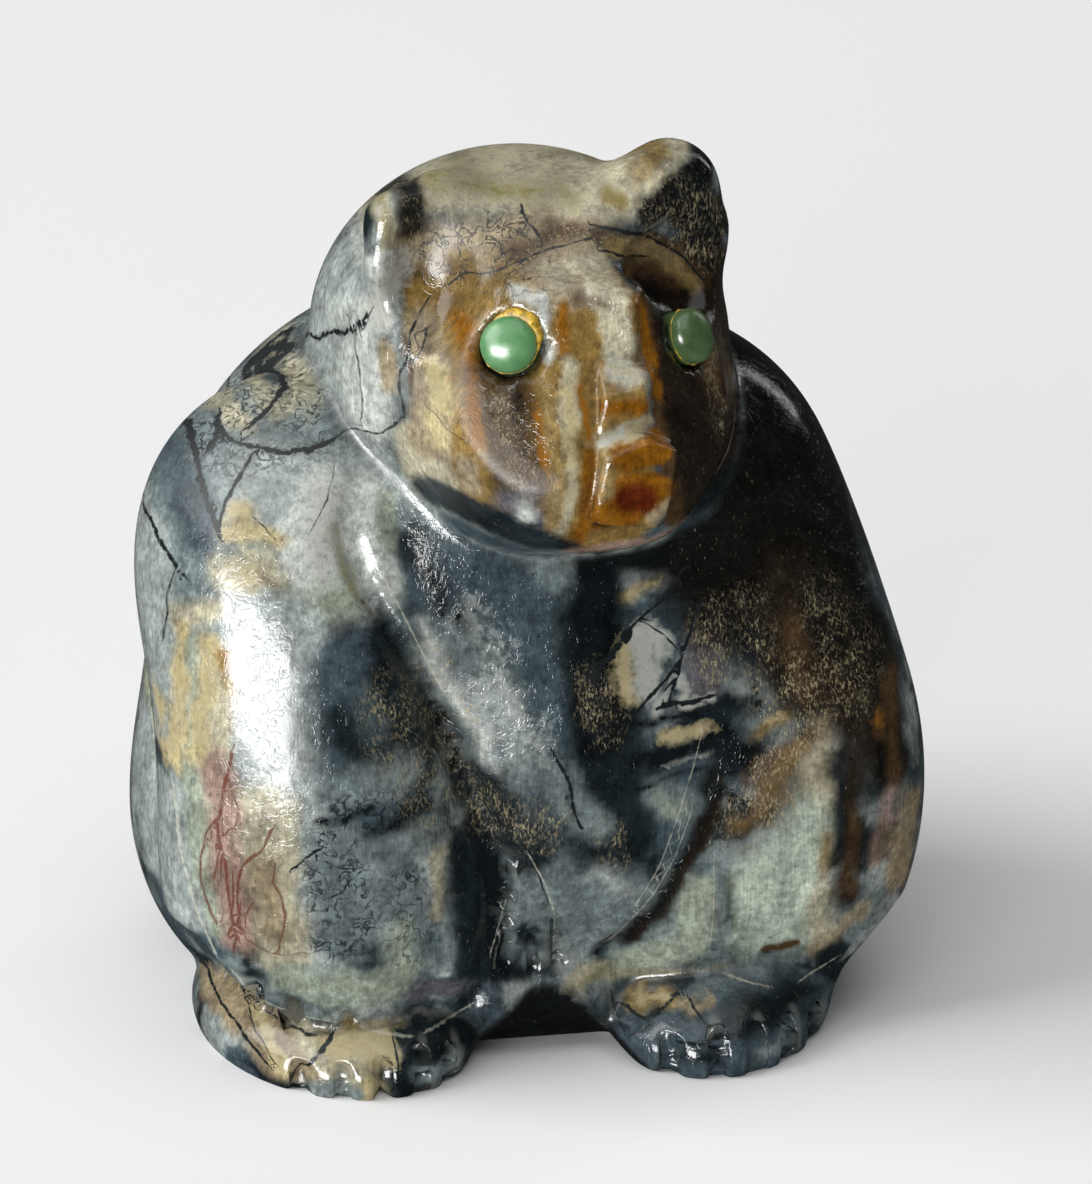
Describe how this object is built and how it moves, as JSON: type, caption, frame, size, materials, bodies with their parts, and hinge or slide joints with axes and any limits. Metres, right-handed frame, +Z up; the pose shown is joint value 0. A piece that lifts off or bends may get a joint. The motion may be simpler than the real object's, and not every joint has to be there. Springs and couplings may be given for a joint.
{
  "type": "zuni bear fetish",
  "caption": "Small seated bear carved from veined marble, with inlaid turquoise eyes, flat underneath so it stands on a shelf or in a display.",
  "frame": {"origin": "on the underside, at the middle of the outline seen from above", "axes": "+Z up, -Y the way the bear faces, +X towards the bear's left side"},
  "size_m": [0.041, 0.0376, 0.0464],
  "materials": {
    "picasso_marble": "hand polished",
    "turquoise": "polished cabochon"
  },
  "bodies": {
    "root": {"bear_body": "picasso_marble", "eye_right": "turquoise", "eye_left": "turquoise"}
  },
  "joints": []
}
